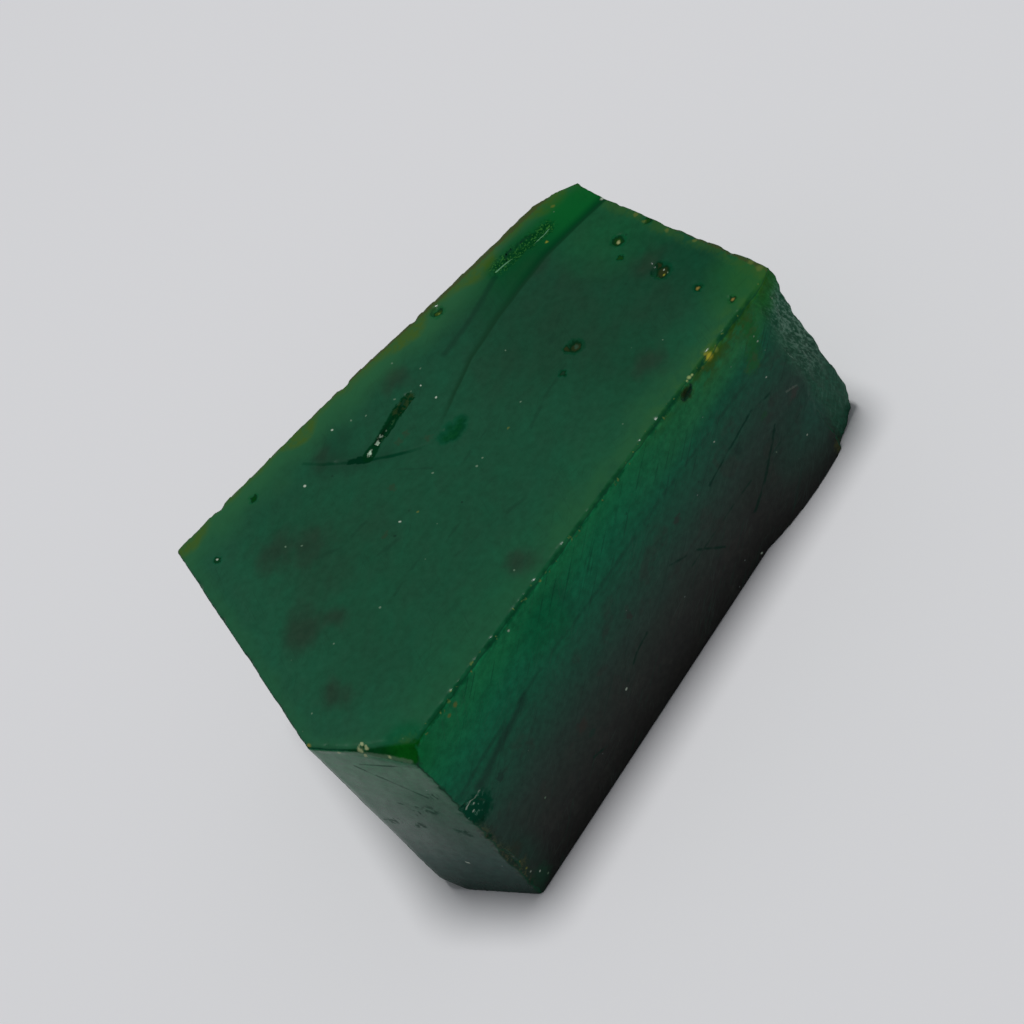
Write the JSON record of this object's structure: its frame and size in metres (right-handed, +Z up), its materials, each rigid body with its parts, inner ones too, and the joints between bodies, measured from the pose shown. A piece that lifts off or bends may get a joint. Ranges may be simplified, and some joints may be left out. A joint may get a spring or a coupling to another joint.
{
  "type": "raw emerald block",
  "caption": "Hand-sized irregular block of dark green translucent rough stone with flat sawn faces, worn edges and a broken end, resting on its flat base.",
  "frame": {"origin": "middle of the bounding box's lower face, on the plane of the flat sawn base", "axes": "+X along the long front face towards the broken end, +Y from the front face to the natural back, +Z up"},
  "size_m": [0.0842, 0.0505, 0.0393],
  "materials": {
    "stone": "dark green translucent stone, dull saw-cut faces with fine scratches, yellow-olive rim along the worn edges"
  },
  "bodies": {
    "root": {"stone": "stone"}
  },
  "joints": []
}
